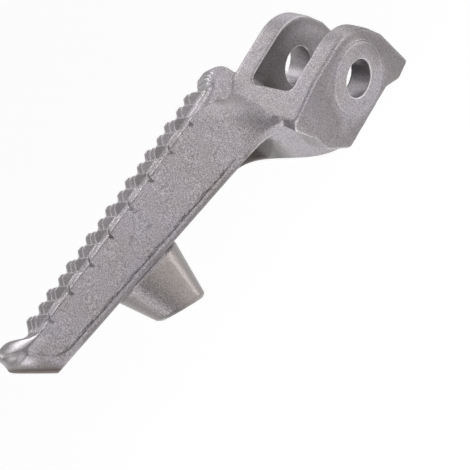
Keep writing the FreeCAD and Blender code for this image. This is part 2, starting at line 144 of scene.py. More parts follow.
@dataclass(frozen=True)
class BlastedAluminium:
    """Sand-cast aluminium, shot blasted: a dull, even grey grain with brighter edges, partly rubbed
    and partly painted highlight, and painted shade and reflection.
    """

    name: str = "cast_aluminium_blasted"
    grey: str = "#77737A"
    grey_warm: str = "#706A6A"
    grey_deep: str = "#605B5F"
    # Bright grain specks, rubbed wear and painted highlight.
    speck_rub_and_highlight: str = "#C6C3C5"
    # Dark gas pits, and painted shade.
    pit_and_shade: str = "#403B39"
    oxide: str = "#352A22"
    # Painted reflection on the boss: its dark band and bright streak.
    core_reflection_dark: str = "#272223"
    core_reflection_bright: str = "#8B837F"
    roughness: float = 0.42
    roughness_spread: float = 0.08
    turned_roughness: float = 0.32
    worn_roughness: float = 0.3
    crust_roughness: float = 0.95
    grain_mm: float = 0.28
    grain_depth_mm: float = 0.09
    grain_relief: float = 0.55
    grain_share: float = 0.34
    core_relief: float = 0.15
    core_grain_share: float = 0.25
    mottle_mm: float = 9.0
    pit_mm: float = 2.4
    full_crust: float = 0.6
    speck: Ramp = Ramp(0.4, 0.62)
    cloud: Ramp = Ramp(0.35, 0.65)
    pit: Ramp = Ramp(0.7, 0.78, 0.35)

    def build(self) -> bpy.types.Material:
        """Make the material.

        Returns:
            The material, reading Object coordinates and the piece's own marks.
        """
        material = bpy.data.materials.new(self.name)
        material.use_nodes = True
        tree = material.node_tree
        tree.nodes.clear()
        marks = {
            mark: add_node(tree, "ShaderNodeAttribute", attribute_name=mark.value).outputs["Fac"]
            for mark in Mark
        }
        place = add_node(tree, "ShaderNodeTexCoord").outputs["Object"]
        # The grain is the shot's own peening, drawn as coarse as the picture can show.
        grain = add_node(
            tree, "ShaderNodeTexNoise",
            {"Vector": place, "Scale": 1 / (self.grain_mm * MM), "Detail": 3.0, "Roughness": 0.6},
        ).outputs["Fac"]
        speck = add_node(
            tree, "ShaderNodeMapRange", {"Value": grain, **self.speck.sockets()}
        ).outputs[0]
        # The smoother core skin of the boss shows less of the grain's relief.
        relief = add_node(
            tree, "ShaderNodeMapRange",
            {"Value": marks[Mark.TURNED], "To Min": self.grain_relief, "To Max": self.core_relief},
        ).outputs[0]
        bump = add_node(
            tree, "ShaderNodeBump",
            {"Height": grain, "Strength": relief, "Distance": self.grain_depth_mm * MM},
        ).outputs[0]
        # The brown stain is burnt sand and oxide, so it doesn't mirror as the metal does.
        bare = add_node(
            tree, "ShaderNodeMapRange",
            {"Value": marks[Mark.STAIN], "From Max": self.full_crust, "To Min": 1.0, "To Max": 0.0},
        ).outputs[0]
        shader = add_node(
            tree, "ShaderNodeBsdfPrincipled",
            {"Base Color": self._colour(tree, marks, place, speck), "Metallic": bare,
             "Roughness": self._roughness(tree, marks, speck), "Normal": bump},
        )
        add_node(tree, "ShaderNodeOutputMaterial", {"Surface": shader.outputs[0]})
        return material

    def _colour(
        self, tree: bpy.types.NodeTree, marks: dict[Mark, Any], place: Any, speck: Any
    ) -> bpy.types.NodeSocket:
        """Lay the metal's colours over one another.

        Args:
            tree: The material's node tree.
            marks: Sockets of the piece's own marks.
            place: Socket of the Object coordinates.
            speck: Socket of the grain's light and dark specks.

        Returns:
            Socket of the finished colour.
        """
        mottle = add_node(
            tree, "ShaderNodeTexNoise",
            {"Vector": place, "Scale": 1 / (self.mottle_mm * MM), "Detail": 4.0, "Roughness": 0.55},
        ).outputs["Fac"]
        cloud = add_node(tree, "ShaderNodeMapRange", {"Value": mottle, **self.cloud.sockets()})
        # Sparse gas pits show as small dark specks.
        pore = add_node(
            tree, "ShaderNodeTexNoise",
            {"Vector": place, "Scale": 1 / (self.pit_mm * MM), "Detail": 1.0},
        ).outputs["Fac"]
        pit = add_node(tree, "ShaderNodeMapRange", {"Value": pore, **self.pit.sockets()})
        dark_grain = self._coats(tree, linear(self.grey_deep), ((speck, linear(self.speck_rub_and_highlight)),))
        # The boss carries a painted reflection: dark and bright streaks by angle round its axis.
        core = self._coats(
            tree, linear(self.core_reflection_dark),
            ((marks[Mark.DRAW], linear(self.core_reflection_bright)), (self.core_grain_share, dark_grain)),
        )
        return self._coats(
            tree, linear(self.grey_warm),
            (
                (cloud.outputs[0], linear(self.grey)),
                (self.grain_share, dark_grain),
                (marks[Mark.TURNED], core),
                (pit.outputs[0], linear(self.pit_and_shade)),
                # Rubbed wear and painted highlight lighten the edges.
                (marks[Mark.RUB_AND_HIGHLIGHT], linear(self.speck_rub_and_highlight)),
                # Painted shade darkens creases, hollows, the pocket and faces turned from the
                # lamps.
                (marks[Mark.PAINTED_SHADE], linear(self.pit_and_shade)),
                (marks[Mark.STAIN], linear(self.oxide)),
            ),
        )

    @staticmethod
    def _coats(
        tree: bpy.types.NodeTree, ground: Any, coats: tuple[tuple[Any, Any], ...]
    ) -> bpy.types.NodeSocket:
        """Lay coats of colour over a ground.

        Args:
            tree: The material's node tree.
            ground: Colour that lies undermost.
            coats: How far each coat covers, and its colour, from the lowest up.

        Returns:
            Socket of the colour that shows.
        """
        for share, colour in coats:
            inputs = {MIX_SHARE: share, MIX_UNDER: ground, MIX_OVER: colour}
            ground = add_node(tree, "ShaderNodeMix", inputs, data_type="RGBA").outputs[MIX_RESULT]
        return ground

    def _roughness(
        self, tree: bpy.types.NodeTree, marks: dict[Mark, Any], speck: Any
    ) -> bpy.types.NodeSocket:
        """Make the roughness: specks of grain, a smooth boss, a polished lip and a dry crust.

        Args:
            tree: The material's node tree.
            marks: Sockets of the piece's own marks.
            speck: Socket of the grain's light and dark specks.

        Returns:
            Socket of the finished roughness.
        """
        rough = add_node(
            tree, "ShaderNodeMapRange",
            {"Value": speck, "To Min": self.roughness + self.roughness_spread,
             "To Max": self.roughness - self.roughness_spread},
        ).outputs[0]
        # Boots polish the lip, so it throws a sharper highlight than the rest.
        for mark, finish in (
            (Mark.TURNED, self.turned_roughness),
            (Mark.WORN, self.worn_roughness),
            (Mark.STAIN, self.crust_roughness),
        ):
            inputs = {"Factor": marks[mark], "A": rough, "B": finish}
            rough = add_node(tree, "ShaderNodeMix", inputs).outputs[0]
        return rough


# Arithmetic of the tooth lattice: result, operation, and its terms, which are numbers, earlier
# results or the tree's inputs.
LATTICE_STEPS: tuple[tuple[Any, ...], ...] = (
    ("count", "MULTIPLY", "Rows", "Columns"),
    ("full columns", "DIVIDE", "index", "Rows"),
    ("column", "FLOOR", "full columns"),
    ("column start", "MULTIPLY", "column", "Rows"),
    ("row", "SUBTRACT", "index", "column start"),
    ("odd", "MODULO", "column", 2.0),
    ("stagger", "MULTIPLY", "odd", 0.5),
    ("steps", "ADD", "row", "stagger"),
    ("run", "MULTIPLY", "steps", "Pitch"),
    ("x", "ADD", "First", "run"),
    ("last column", "SUBTRACT", "Columns", 1.0),
    ("middle", "MULTIPLY", "last column", 0.5),
    ("aside", "SUBTRACT", "column", "middle"),
    ("y", "MULTIPLY", "aside", "Column Pitch"),
    ("half length", "MULTIPLY", "Length", 0.5),
    ("inner end", "SUBTRACT", "x", "half length"),
    ("past start", "SUBTRACT", "inner end", "Near Start"),
    ("room", "MULTIPLY", "past start", "Slant"),
    ("half width", "MULTIPLY", "Width", 0.5),
    ("outer side", "ADD", "y", "half width"),
    ("past edge", "GREATER_THAN", "outer side", "room"),
    ("past lip", "GREATER_THAN", "x", "Lip"),
    ("beyond", "MAXIMUM", "past edge", "past lip"),
    ("foot length", "ADD", "Length", "Foot"),
    ("foot width", "ADD", "Width", "Foot"),
)


@dataclass(frozen=True)
class ToothFillets:
    """Flared foot that the mould leaves round each tooth of the tread's staggered lattice."""

    pitch_mm: float = 8.73
    column_pitch_mm: float = 4.4
    rows: int = 9
    columns: int = 5
    first_mm: float = 24.57
    tread_mm: float = TREAD_MM
    length_mm: float = 6.4
    width_mm: float = 3.7
    foot_mm: float = 0.45
    near_start_mm: float = 9.467
    slant: float = 0.6
    lip_mm: float = LIP_MM
    flare: float = 0.6

    def _inputs(self) -> dict[str, Any]:
        """Name the tree's inputs.

        Returns:
            Counts, the slope of the tread's near edge, and lengths in millimetres, by name.
        """
        return {
            "Rows": self.rows, "Columns": self.columns, "Slant": self.slant,
            "Pitch": self.pitch_mm, "Column Pitch": self.column_pitch_mm, "First": self.first_mm,
            "Tread": self.tread_mm, "Length": self.length_mm, "Width": self.width_mm,
            "Foot": self.foot_mm, "Near Start": self.near_start_mm, "Lip": self.lip_mm,
        }

    def _tree(self, material: bpy.types.Material) -> bpy.types.NodeTree:
        """Build the lattice's node tree.

        Args:
            material: Metal that the fillets are made of.

        Returns:
            A geometry node tree with named inputs for the sizes.
        """
        tree = bpy.data.node_groups.new("tooth_fillets", "GeometryNodeTree")
        tree.interface.new_socket(
            "Geometry", in_out="OUTPUT", socket_type="NodeSocketGeometry"
        )
        for name, value in self._inputs().items():
            kind = "NodeSocketInt" if isinstance(value, int) else "NodeSocketFloat"
            tree.interface.new_socket(name, in_out="INPUT", socket_type=kind)
        entry = add_node(tree, "NodeGroupInput").outputs
        known: dict[Any, Any] = {name: entry[name] for name in self._inputs()}
        known["index"] = add_node(tree, "GeometryNodeInputIndex").outputs[0]
        for result, operation, *terms in LATTICE_STEPS:
            inputs = {place: known.get(term, term) for place, term in enumerate(terms)}
            step = add_node(tree, "ShaderNodeMath", inputs, operation=operation)
            known[result] = step.outputs[0]
        line = add_node(tree, "GeometryNodeMeshLine", {"Count": known["count"]})
        spot = add_node(
            tree, "ShaderNodeCombineXYZ", {"X": known["x"], "Y": known["y"], "Z": known["Tread"]}
        )
        lattice = add_node(
            tree, "GeometryNodeSetPosition",
            {"Geometry": line.outputs[0], "Position": spot.outputs[0]},
        )
        kept = add_node(
            tree, "GeometryNodeDeleteGeometry",
            {"Geometry": lattice.outputs[0], "Selection": known["beyond"]},
        )
        foot = add_node(
            tree, "GeometryNodeMeshCone",
            {"Vertices": 4, "Radius Top": self.flare, "Radius Bottom": 2 ** -0.5, "Depth": 1.0},
        )
        turned = add_node(
            tree, "GeometryNodeTransform",
            {"Geometry": foot.outputs[0], "Rotation": (0, 0, np.pi / 4)},
        )
        size = add_node(
            tree, "ShaderNodeCombineXYZ",
            {"X": known["foot length"], "Y": known["foot width"], "Z": known["Foot"]},
        )
        sized = add_node(
            tree, "GeometryNodeTransform", {"Geometry": turned.outputs[0], "Scale": size.outputs[0]}
        )
        placed = add_node(
            tree, "GeometryNodeInstanceOnPoints",
            {"Points": kept.outputs[0], "Instance": sized.outputs[0]},
        )
        metres = add_node(
            tree, "GeometryNodeTransform", {"Geometry": placed.outputs[0], "Scale": (MM, MM, MM)}
        )
        real = add_node(tree, "GeometryNodeRealizeInstances", {"Geometry": metres.outputs[0]})
        metal = add_node(
            tree, "GeometryNodeSetMaterial", {"Geometry": real.outputs[0], "Material": material}
        )
        add_node(tree, "NodeGroupOutput", {0: metal.outputs[0]})
        return tree

    def build(self, material: bpy.types.Material) -> bpy.types.Mesh:
        """Make the fillets as one plain mesh.

        Args:
            material: Metal that the fillets are made of.

        Returns:
            The mesh, in metres, in the frame's own axes.
        """
        tree = self._tree(material)
        values = self._inputs()
        holder = bpy.data.objects.new("tooth_fillets", bpy.data.meshes.new("tooth_fillets"))
        bpy.context.scene.collection.objects.link(holder)
        modifier = holder.modifiers.new("lattice", "NODES")
        modifier.node_group = tree
        for item in tree.interface.items_tree:
            if item.in_out == "INPUT":
                modifier[item.identifier] = values[item.name]
        ready = holder.evaluated_get(bpy.context.evaluated_depsgraph_get())
        mesh = bpy.data.meshes.new_from_object(ready)
        holder.modifiers.clear()
        bpy.data.objects.remove(holder)
        return mesh


@dataclass
class Surface:
    """A mesh's points, directions and neighbours, read once so that its forms can be measured."""

    mesh: bpy.types.Mesh
    points: np.ndarray = field(init=False)
    normals: np.ndarray = field(init=False)
    first: np.ndarray = field(init=False)
    second: np.ndarray = field(init=False)
    neighbours: np.ndarray = field(init=False)

    def __post_init__(self) -> None:
        """Read the arrays from the mesh."""
        vectors: dict[str, np.ndarray] = {}
        for what in ("co", "normal"):
            values = np.empty(len(self.mesh.vertices) * 3)
            self.mesh.vertices.foreach_get(what, values)
            vectors[what] = values.reshape(-1, 3)
        self.points, self.normals = vectors["co"], vectors["normal"]
        pairs = np.empty(len(self.mesh.edges) * 2, dtype=np.int64)
        self.mesh.edges.foreach_get("vertices", pairs)
        self.first, self.second = pairs.reshape(-1, 2).T
        count = len(self.points)
        ends = np.bincount(self.first, minlength=count) + np.bincount(self.second, minlength=count)
        self.neighbours = np.maximum(ends, 1)

    def places_mm(self) -> np.ndarray:
        """Give the points' x, y and z in millimetres, one row each."""
        return self.points.T / MM

    def off_pin_mm(self) -> np.ndarray:
        """Measure how far each point lies from the pin's axis, in millimetres."""
        along = np.outer(self.points @ PIN_AXIS, PIN_AXIS)
        return np.linalg.norm(self.points - along, axis=1) / MM

    def mean_of_neighbours(self, at_first: np.ndarray, at_second: np.ndarray) -> np.ndarray:
        """Average a reading over each point's edges.

        Args:
            at_first: What each edge gives to its first point.
            at_second: What each edge gives to its second point.

        Returns:
            One number per point.
        """
        count = len(self.points)
        total = np.bincount(self.first, at_first, count)
        total = total + np.bincount(self.second, at_second, count)
        return total / self.neighbours

    def bend(self, rings: int) -> np.ndarray:
        """Measure how far each point lies below (+) or above (-) its neighbours.

        Args:
            rings: Rings of neighbours that the numbers are smoothed over.

        Returns:
            One number per point, near 0 on flats.
        """
        gap = self.points[self.second] - self.points[self.first]
        span = np.linalg.norm(gap, axis=1) + TINY
        lift = np.einsum("ij,ij->i", gap, self.normals[self.first]) / span
        fall = np.einsum("ij,ij->i", -gap, self.normals[self.second]) / span
        bend = self.mean_of_neighbours(lift, fall)
        for _ in range(rings):
            around = self.mean_of_neighbours(bend[self.second], bend[self.first])
            bend = 0.5 * bend + 0.5 * around
        return bend

    def shelter(self, leans: tuple[float, ...], reach_mm: float, lift_mm: float) -> np.ndarray:
        """Measure how far each point is closed in, which drives painted shade in hollows.

        Args:
            leans: Angle of each feeler from the surface's own direction, in radians.
            reach_mm: Length of the feelers.
            lift_mm: How far above the surface they start.

        Returns:
            The share of feelers that meet the casting: 0 in the open, 1 deep inside.
        """
        faces = [face.vertices[:] for face in self.mesh.polygons]
        tree = BVHTree.FromPolygons(self.points.tolist(), faces)
        # The feelers turn from a side taken square to X, or to Y where the surface faces along X.
        aside = np.abs(self.normals[:, :1]) < ALONG_AXIS
        side = np.cross(self.normals, np.where(aside, [[1.0, 0.0, 0.0]], [[0.0, 1.0, 0.0]]))
        side /= np.linalg.norm(side, axis=1, keepdims=True) + TINY
        other = np.cross(self.normals, side)
        starts = (self.points + self.normals * lift_mm * MM).tolist()
        met = np.zeros(len(self.points))
        for place, lean in enumerate(leans):
            turn = 2 * np.pi * place / len(leans)
            around = side * np.cos(turn) + other * np.sin(turn)
            ways = (self.normals * np.cos(lean) + around * np.sin(lean)).tolist()
            hits = (tree.ray_cast(a, b, reach_mm * MM)[3] for a, b in zip(starts, ways))
            met += [hit is not None for hit in hits]
        return met / len(leans)


@dataclass(frozen=True)
class SkinMarks:
    """Where the skin is rubbed, worn and stained, and where it carries painted highlight, painted
    shade and a painted reflection, read off the casting's own form.

    Lengths are in millimetres in the frame's axes. Ramps over bends, shelter and directions have
    no unit.
    """

    # Rubbed wear and painted highlight: cast edges, tooth ridges, the fork's rounded edges, tread
    # floor, lip and bores.
    edge_rings: int = 1
    round_rings: int = 3
    tooth_foot_mm: float = TREAD_MM + 0.4
    tooth_edge: Ramp = Ramp(0.09, 0.24, 0.9)
    cast_edge: Ramp = Ramp(0.12, 0.385625, 0.85)
    round_edge: Ramp = Ramp(0.045, 0.12278, 0.7)
    fork_highlight: Ramp = Ramp(22.0, 19.0)
    pad_edge_mm: float = 1.0
    pad_edge_highlight: float = 0.5
    teeth_painted_light: float = 0.13
    floor_rub: float = 0.34
    floor_level: float = 0.92
    floor_band_mm: float = 0.5
    bore_wall_mm: float = 5.3
    bore_end_mm: float = 9.0
    bore_painted_light: float = 0.2
    lip_rub_and_highlight: float = 0.25
    lip_start: Ramp = Ramp(LIP_MM + 1, LIP_MM + 3)
    lip_rise: Ramp = Ramp(TREAD_MM - 3, TREAD_MM)

    # Painted shade: in creases, fainter at the tip, in closed-in hollows, and darker towards the
    # bar's tip end.
    crease_shade: Ramp = Ramp(0.06, 0.28059, 0.75)
    fainter_tip_shade: Ramp = Ramp(LIP_MM + 4, LIP_MM + 7, 0.7)
    closed_in: Ramp = Ramp(0.2, 0.6, 0.85)
    shade_toward_tip: Ramp = Ramp(40.0, 90.0, 0.12)
    feeler_leans: tuple[float, ...] = (0.95, 0.45) * 4
    feeler_reach_mm: float = 16.0
    feeler_lift_mm: float = 0.2
    throat_half_mm: float = 7.0
    throat_end_mm: float = 22.0
    channel_half_mm: float = 10.5
    channel_start_mm: float = 20.0
    channel_top_mm: float = TREAD_MM - 6
    pocket_start: Ramp = Ramp(21.5, 23.5)
    pocket_end: Ramp = Ramp(44.0, 38.0)
    pocket_top_mm: float = TREAD_MM / 2
    pocket_shade: float = 0.95

    # Painted shade on the fork: the ears' faces outside the pads, the pads' steps and the toe.
    fork_shade: Ramp = Ramp(20.0, 16.0)
    square_on: Ramp = Ramp(0.85, 0.93333)
    past_pad: Ramp = Ramp(PAD_RADIUS_MM, PAD_RADIUS_MM + 2)
    pad_step: Ramp = Ramp(0.7, 0.0, 0.42)
    ear_face: float = 0.48
    pad_face: float = 0.12
    lighter_heel: Ramp = Ramp(10.0, 18.0, 0.2)
    toe: Ramp = Ramp(-9.0, -12.0, 0.6)

    # Painted shade on the bar: its lower rims, the low side walls and the slopes of the rim blocks.
    bar_start: Ramp = Ramp(26.0, 30.0)
    bar_end: Ramp = Ramp(LIP_MM, LIP_MM - 4)
    rim_below: Ramp = Ramp(-0.1, -0.4, 0.5)
    rim_top_mm: float = TREAD_MM - 4
    wall_facing: Ramp = Ramp(0.6, 0.8)
    wall_start: Ramp = Ramp(45.0, 70.0)
    wall_low: Ramp = Ramp(10.2, 6.2, 0.17)
    wall_rise: float = 0.044
    block_side: Ramp = Ramp(0.5, 0.7)
    block_slope: Ramp = Ramp(0.2, 0.35, 0.28)
    block_foot_mm: float = TREAD_MM - 3
    block_inside_mm: float = 8.4

    # The feeler boss and the painted reflection streaks round it.
    boss_end_mm: tuple[float, float, float] = (69.5, 0.0, -7.1)
    boss_axis: tuple[float, float, float] = (0.124, 0.0, -0.992)
    boss_reach_mm: float = 10.5
    boss_top_mm: float = 8.0
    boss_share: float = 0.9
    painted_streaks: int = 3
    streak_turn: float = 2.0

    # The tip's sloping end face, stained brown.
    undercut_mm: tuple[float, float, float] = (108.2, 0.0, 18.6)
    undercut_normal: tuple[float, float, float] = (0.807, 0.0, -0.591)
    stain_facing: Ramp = Ramp(0.9, 1.0)
    stain_depth_mm: float = 1.2
    stain_above: Ramp = Ramp(-2.08, -0.48)
    stain_start_mm: float = 97.0
    stain_share: float = 0.9

    def paint(self, mesh: bpy.types.Mesh) -> None:
        """Write the marks that the skin is painted by.

        Args:
            mesh: Finished mesh of the casting, which gets one attribute for each mark.
        """
        skin = Surface(mesh)
        bend = skin.bend(self.round_rings)
        x, _, z = skin.places_mm()
        worn = self.lip_start.at(x) * self.lip_rise.at(z)
        turned, painted_streak = self._boss(skin)
        marks = {
            Mark.RUB_AND_HIGHLIGHT: self._rub_and_highlight(skin, bend, worn),
            Mark.PAINTED_SHADE: self._painted_shade(skin, bend),
            Mark.TURNED: turned,
            Mark.STAIN: self._stain(skin),
            Mark.DRAW: painted_streak,
            Mark.WORN: worn,
        }
        for mark, values in marks.items():
            layer = mesh.attributes.new(mark.value, "FLOAT", "POINT")
            layer.data.foreach_set("value", values.astype(np.float32))

    def _rub_and_highlight(self, skin: Surface, bend: np.ndarray, worn: np.ndarray) -> np.ndarray:
        """Mark what is bright: wear from boots and the blast, and painted highlight on edges,
        teeth, the lip, the tread floor and the reamed bores.

        Args:
            skin: The casting's surface.
            bend: Its bends, smoothed.
            worn: How far each point belongs to the worn lip.

        Returns:
            One share per point.
        """
        x, _, z = skin.places_mm()
        edge = -skin.bend(self.edge_rings)
        off_pin = skin.off_pin_mm()
        teeth = z > self.tooth_foot_mm
        sharp = np.where(teeth, self.tooth_edge.at(edge), self.cast_edge.at(edge))
        at_pad = np.abs(off_pin - PAD_RADIUS_MM) < self.pad_edge_mm
        rounded = self.fork_highlight.at(x) * self.round_edge.at(-bend)
        floor = (skin.normals[:, 2] > self.floor_level) & (x < LIP_MM)
        trodden = floor & (np.abs(z - TREAD_MM) < self.floor_band_mm)
        reamed = (off_pin < self.bore_wall_mm) & (x < self.bore_end_mm)
        return np.maximum.reduce([
            sharp,
            rounded * np.where(at_pad, self.pad_edge_highlight, 1.0),
            self.lip_rub_and_highlight * worn,
            self.teeth_painted_light * teeth,
            self.floor_rub * trodden,
            self.bore_painted_light * reamed,
        ])

    def _painted_shade(self, skin: Surface, bend: np.ndarray) -> np.ndarray:
        """Mark painted shade: creases, closed-in hollows, the bar's tip end, its rims, the fork's
        faces and the pocket.

        Args:
            skin: The casting's surface.
            bend: Its bends, smoothed.

        Returns:
            One share per point.
        """
        x = skin.places_mm()[0]
        shelter = skin.shelter(self.feeler_leans, self.feeler_reach_mm, self.feeler_lift_mm)
        return np.maximum.reduce([
            self.crease_shade.at(bend) * (1 - self.fainter_tip_shade.at(x)),
            self.closed_in.at(shelter) * self._hollows(skin),
            self.shade_toward_tip.at(x),
            self._rims(skin),
            self._fork(skin),
            self._pocket(skin),
        ])

    def _hollows(self, skin: Surface) -> np.ndarray:
        """Pick the fork's throat and the channel under the bar, where painted shade goes in
        hollows.

        Args:
            skin: The casting's surface.

        Returns:
            True or false per point.
        """
        x, y, z = skin.places_mm()
        across = np.abs(skin.points @ PIN_AXIS) / MM
        throat = (across < self.throat_half_mm) & (x < self.throat_end_mm)
        inside = (np.abs(y) < self.channel_half_mm) & (z < self.channel_top_mm)
        return throat | (inside & (x > self.channel_start_mm))

    def _fork(self, skin: Surface) -> np.ndarray:
        """Mark painted shade on the ears' outer faces, most outside their pads, on the pads' steps,
        and on the toe.

        Args:
            skin: The casting's surface.

        Returns:
            One share per point.
        """
        x = skin.places_mm()[0]
        off_pin = skin.off_pin_mm()
        square_on = self.square_on.at(np.abs(skin.normals @ PIN_AXIS))
        ear = (self.ear_face - self.lighter_heel.at(x)) * self.past_pad.at(off_pin)
        step = self.pad_step.at(np.abs(off_pin - PAD_RADIUS_MM))
        faces = square_on * np.maximum.reduce([ear, np.full_like(x, self.pad_face), step])
        return self.fork_shade.at(x) * np.maximum(faces, self.toe.at(x))

    def _rims(self, skin: Surface) -> np.ndarray:
        """Mark painted shade on the bar's lower rims, its low side walls and the slopes of the
        tread's rim blocks.

        Args:
            skin: The casting's surface.

        Returns:
            One share per point.
        """
        x, y, z = skin.places_mm()
        sideways = np.abs(skin.normals[:, 1])
        upward = skin.normals[:, 2]
        below = self.rim_below.at(upward) * (z < self.rim_top_mm)
        wall = self.wall_facing.at(sideways) * self.wall_start.at(x)
        low = wall * self.wall_low.at(z - self.wall_rise * x)
        at_rim = (z > self.block_foot_mm) & (np.abs(y) > self.block_inside_mm)
        blocks = self.block_side.at(sideways) * self.block_slope.at(upward) * at_rim
        return self.bar_start.at(x) * self.bar_end.at(x) * np.maximum.reduce([below, low, blocks])

    def _pocket(self, skin: Surface) -> np.ndarray:
        """Mark painted shade in the pocket below the root.

        Args:
            skin: The casting's surface.

        Returns:
            One share per point.
        """
        x, y, z = skin.places_mm()
        inside = (np.abs(y) < self.channel_half_mm) & (z < self.pocket_top_mm)
        return self.pocket_shade * self.pocket_start.at(x) * self.pocket_end.at(x) * inside

    def _boss(self, skin: Surface) -> tuple[np.ndarray, np.ndarray]:
        """Mark the feeler boss, which came smooth out of a metal core, and the painted reflection
        streaks round it.

        Args:
            skin: The casting's surface.

        Returns:
            How far each point belongs to the boss, and how bright its painted reflection streak is.
        """
        end = np.array(self.boss_end_mm) * MM
        axis = np.array(self.boss_axis)
        along = (end - skin.points) @ axis
        off = skin.points - end + np.outer(along, axis)
        near = np.linalg.norm(off, axis=1) < self.boss_reach_mm * MM
        boss = near & (skin.points[:, 2] < self.boss_top_mm * MM)
        turn = np.arctan2(off[:, 1], off[:, 0]) - self.streak_turn
        return self.boss_share * boss, 0.5 + 0.5 * np.cos(self.painted_streaks * turn)

    def _stain(self, skin: Surface) -> np.ndarray:
        """Mark the tip's sloping end face, stained brown by the mould.

        Args:
            skin: The casting's surface.

        Returns:
            One share per point.
        """
        normal = np.array(self.undercut_normal)
        level_mm = (skin.points / MM - np.array(self.undercut_mm)) @ normal
        face = self.stain_facing.at(skin.normals @ normal)
        face = face * (np.abs(level_mm) < self.stain_depth_mm)
        at_tip = skin.points[:, 0] > self.stain_start_mm * MM
        return self.stain_share * np.maximum(face, self.stain_above.at(level_mm)) * at_tip


@dataclass(frozen=True)
class Casting:
    """The whole peg as it leaves the foundry: fork, root, bar, tread, tip and boss in one piece.

    Lengths are in millimetres in the frame's axes.
    """

    node: str = "footpeg_casting"
    slot: str = "cast_aluminium"
    body: str = "root"
    marks: SkinMarks = SkinMarks()
    merge_mm: float = 0.002
    voxel_mm: float = 0.26
    blast_factor: float = 0.5
    blast_passes: int = 2
    most_triangles: int = 190000

    # Rounding of the fork outside its pads, of the tip's wall, and of the lip.
    round_passes: int = 50
    round_step: float = 0.5
    round_fork: Ramp = Ramp(22.0, 17.0, 0.3)
    outside_pad: Ramp = Ramp(PAD_RADIUS_MM + 0.5, PAD_RADIUS_MM + 1.5)
    round_wall: Ramp = Ramp(LIP_MM - 2, LIP_MM, 0.12)
    wall_top: Ramp = Ramp(TREAD_MM - 1, TREAD_MM - 2)
    round_lip: Ramp = Ramp(LIP_MM + 1, LIP_MM + 4)
    lip_foot: Ramp = Ramp(TREAD_MM - 2.5, TREAD_MM - 1.5)
    lip_least: float = 0.12

    # Fine rings across the shoulder's end.
    ring_start: Ramp = Ramp(16.6, 17.2)
    ring_end: Ramp = Ramp(20.2, 19.8)
    ring_side: Ramp = Ramp(4.5, 3.0)
    ring_level: Ramp = Ramp(TREAD_MM + 1, TREAD_MM + 1.6)
    ring_bow: float = 0.03
    ring_pitch_mm: float = 1.15
    ring_depth_mm: float = 0.3

    def build(self, metal: bpy.types.Material, fillets: bpy.types.Mesh) -> bpy.types.Object:
        """Make the finished piece.

        Args:
            metal: Material of the casting.
            fillets: Mesh of the teeth's flared feet, which becomes part of the casting.

        Returns:
            The object that stands for the CAD node.
        """
        piece = self._joined(fillets)
        self._soften(piece)
        self.marks.paint(piece.data)
        piece.data.materials.clear()
        piece.data.materials.append(metal)
        piece.data.shade_smooth()
        return piece

    def _joined(self, fillets: bpy.types.Mesh) -> bpy.types.Object:
        """Copy the CAD mesh, merge its loose triangles and add the fillets.

        Args:
            fillets: Mesh to add.

        Returns:
            An object at the origin with both in its mesh.
        """
        shell = bmesh.new()
        shell.from_mesh(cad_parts[self.node].data)
        bmesh.ops.remove_doubles(shell, verts=shell.verts, dist=self.merge_mm * MM)
        shell.from_mesh(fillets)
        mesh = bpy.data.meshes.new("footpeg")
        shell.to_mesh(mesh)
        shell.free()
        piece = bpy.data.objects.new("footpeg", mesh)
        bpy.context.scene.collection.objects.link(piece)
        return piece

    def _soften(self, piece: bpy.types.Object) -> None:
        """Round the edges as the mould and the blasting leave them, within the triangles allowed.

        Args:
            piece: Object whose mesh is replaced.
        """
        remesh = piece.modifiers.new("mould", "REMESH")
        remesh.mode = "VOXEL"
        remesh.voxel_size = self.voxel_mm * MM
        smooth = piece.modifiers.new("blast", "SMOOTH")
        smooth.factor = self.blast_factor
        smooth.iterations = self.blast_passes
        self._apply(piece)
        self._round_over(piece.data)
        thin = piece.modifiers.new("thin", "DECIMATE")
        thin.ratio = min(1.0, self.most_triangles / count_triangles(piece.data))
        self._apply(piece)
        self._drop_crumbs(piece.data)

    @staticmethod
    def _apply(piece: bpy.types.Object) -> None:
        """Bake the modifiers into the mesh.

        Args:
            piece: Object whose mesh is replaced.
        """
        ready = piece.evaluated_get(bpy.context.evaluated_depsgraph_get())
        mesh = bpy.data.meshes.new_from_object(ready)
        piece.modifiers.clear()
        piece.data = mesh

    def _round_over(self, mesh: bpy.types.Mesh) -> None:
        """Round the fork and the tip further than the teeth, and cut the shoulder's rings.

        Args:
            mesh: Mesh whose points are moved.
        """
        skin = Surface(mesh)
        x, _, z = skin.places_mm()
        fork = self.round_fork.at(x) * self.outside_pad.at(skin.off_pin_mm())
        wall = self.round_wall.at(x) * self.wall_top.at(z)
        lip = self.round_lip.at(x) * np.maximum(self.lip_foot.at(z), self.lip_least)
        give = self.round_step * np.maximum.reduce([wall, lip, fork])[:, None]
        points = skin.points
        for _ in range(self.round_passes):
            sides = [
                skin.mean_of_neighbours(line[skin.second], line[skin.first]) for line in points.T
            ]
            points = points + give * (np.stack(sides, axis=1) - points)
        points[:, 2] -= self._ring_depth(points)
        mesh.vertices.foreach_set("co", points.ravel())
        mesh.update()

    def _ring_depth(self, points: np.ndarray) -> np.ndarray:
        """Give the depth of the fine rings that the pattern's joint leaves on the shoulder's end.

        Args:
            points: Places of the points, in metres.

        Returns:
            How far each point goes down, in metres.
        """
        x, y, z = points.T / MM
        zone = self.ring_start.at(x) * self.ring_end.at(x) * self.ring_side.at(y)
        along = x - self.ring_start.start + self.ring_bow * y * y
        wave = 0.5 + 0.5 * np.cos(2 * np.pi * along / self.ring_pitch_mm)
        return self.ring_depth_mm * MM * zone * self.ring_level.at(z) * wave

